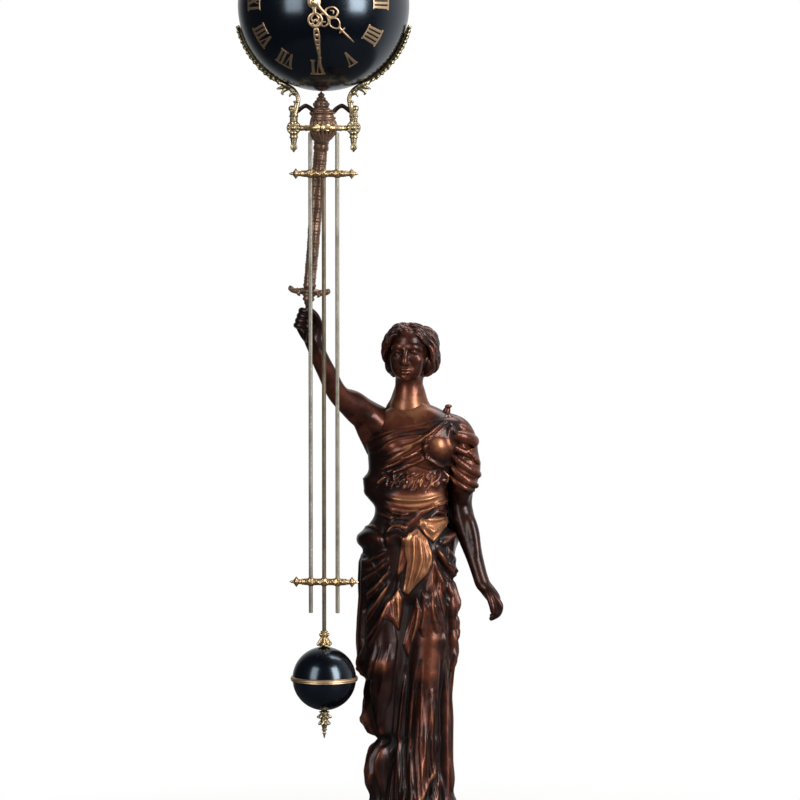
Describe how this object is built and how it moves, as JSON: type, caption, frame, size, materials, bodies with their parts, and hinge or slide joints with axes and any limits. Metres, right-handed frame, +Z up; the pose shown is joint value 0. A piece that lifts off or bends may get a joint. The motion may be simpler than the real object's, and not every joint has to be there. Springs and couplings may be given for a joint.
{
  "type": "mechanical table clock",
  "caption": "Table clock: a draped bronze figure holds up a staff on which a ball clock and long bob pendulum swing together on a knife edge.",
  "frame": {"origin": "centre of the round base's underside, on the table", "axes": "+Z up, the dial faces -Y, +X to the viewer's right"},
  "size_m": [0.2092, 0.2166, 0.7305],
  "materials": {
    "bronze": "patinated, polished by handling",
    "gilt_brass": "antique gilt",
    "steel": "dull nickelled steel",
    "enamel": "gloss enamel",
    "felt": "wool felt"
  },
  "bodies": {
    "stand": {"felt_pad": "felt", "plinth": "bronze", "figure_ground": "bronze", "tie_rod": "steel", "tie_nut": "steel", "tie_washer": "steel", "skirt_casting": "bronze", "torso_casting": "bronze", "head_casting": "bronze", "raised_arm_casting": "bronze", "lowered_arm_casting": "bronze", "support_staff": "bronze", "staff_guard": "bronze", "pivot_head": "bronze", "staff_finial": "bronze", "pivot_arm": "bronze"},
    "swing_arm": {"pivot_yoke": "gilt_brass", "knife_edge": "steel", "left_bracket": "gilt_brass", "right_bracket": "gilt_brass", "left_cradle_arm": "gilt_brass", "right_cradle_arm": "gilt_brass", "left_rod": "steel", "right_rod": "steel", "middle_rod": "gilt_brass", "upper_clamp": "gilt_brass", "lower_clamp": "gilt_brass", "front_shell": "enamel", "rear_shell": "enamel", "movement_ring": "steel", "front_plate": "gilt_brass", "back_plate": "gilt_brass", "pillar_1": "steel", "pillar_2": "steel", "pillar_3": "steel"},
    "bob": {"bob_upper_half": "enamel", "bob_lower_half": "enamel", "bob_band": "gilt_brass", "bob_cup": "gilt_brass"},
    "rating": {"rating_nut": "gilt_brass"},
    "centre_train": {"centre_arbor": "steel", "centre_wheel": "gilt_brass", "cannon_pinion": "steel", "minute_hand": "gilt_brass", "hand_nut": "gilt_brass"},
    "hour_train": {"hour_wheel": "gilt_brass", "hour_hand": "gilt_brass"},
    "minute_train": {"minute_wheel": "gilt_brass"},
    "barrel_drum": {"barrel": "gilt_brass", "mainspring": "steel"},
    "third_train": {"third_wheel": "gilt_brass"},
    "escape_train": {"escape_wheel": "gilt_brass"},
    "winding": {"winding_arbor": "steel", "ratchet_wheel": "steel", "winding_key": "gilt_brass"},
    "click_lever": {"click": "steel"},
    "escapement": {"anchor": "steel", "inner_pendulum": "gilt_brass"}
  },
  "joints": [
    {"name": "arm_swing", "type": "hinge", "parent": "stand", "child": "swing_arm", "pos_m": [-0.0605, -0.062, 0.575], "axis": [0, 1, 0], "range_deg": [-5, 5]},
    {"name": "bob_slide", "type": "slide", "parent": "swing_arm", "child": "bob", "axis": [0, 0, 1], "range_m": [-0.003, 0.003]},
    {"name": "rating_turn", "type": "hinge", "parent": "bob", "child": "rating", "pos_m": [-0.0605, -0.062, 0.13], "axis": [0, 0, 1], "range_deg": [-1500, 1500]},
    {"name": "minute_hand_turn", "type": "hinge", "parent": "swing_arm", "child": "centre_train", "pos_m": [-0.0605, -0.062, 0.6665], "axis": [0, 1, 0], "continuous": true},
    {"name": "hour_hand_turn", "type": "hinge", "parent": "swing_arm", "child": "hour_train", "pos_m": [-0.0605, -0.062, 0.6665], "axis": [0, 1, 0], "continuous": true},
    {"name": "minute_wheel_turn", "type": "hinge", "parent": "swing_arm", "child": "minute_train", "pos_m": [-0.0525, -0.062, 0.65264], "axis": [0, 1, 0], "continuous": true},
    {"name": "barrel_turn", "type": "hinge", "parent": "swing_arm", "child": "barrel_drum", "pos_m": [-0.07917, -0.062, 0.64783], "axis": [0, 1, 0], "continuous": true},
    {"name": "third_wheel_turn", "type": "hinge", "parent": "swing_arm", "child": "third_train", "pos_m": [-0.04311, -0.062, 0.67116], "axis": [0, 1, 0], "continuous": true},
    {"name": "escape_wheel_turn", "type": "hinge", "parent": "swing_arm", "child": "escape_train", "pos_m": [-0.05443, -0.062, 0.68247], "axis": [0, 1, 0], "continuous": true},
    {"name": "winding_turn", "type": "hinge", "parent": "swing_arm", "child": "winding", "pos_m": [-0.07917, -0.062, 0.64783], "axis": [0, 1, 0], "continuous": true},
    {"name": "click_lift", "type": "hinge", "parent": "swing_arm", "child": "click_lever", "pos_m": [-0.07617, -0.062, 0.63183], "axis": [0, 1, 0], "range_deg": [-12, 0]},
    {"name": "inner_pendulum_swing", "type": "hinge", "parent": "swing_arm", "child": "escapement", "pos_m": [-0.0605, -0.062, 0.6949], "axis": [0, 1, 0], "range_deg": [-4, 4]}
  ],
  "couplings": [
    {"joint": "hour_hand_turn", "follows": "minute_hand_turn", "ratio": 0.083333},
    {"joint": "minute_wheel_turn", "follows": "minute_hand_turn", "ratio": -0.33333},
    {"joint": "barrel_turn", "follows": "minute_hand_turn", "ratio": -0.25},
    {"joint": "third_wheel_turn", "follows": "minute_hand_turn", "ratio": -3},
    {"joint": "escape_wheel_turn", "follows": "minute_hand_turn", "ratio": 9},
    {"joint": "rating_turn", "follows": "bob_slide", "rad_per_m": 8726.6}
  ]
}
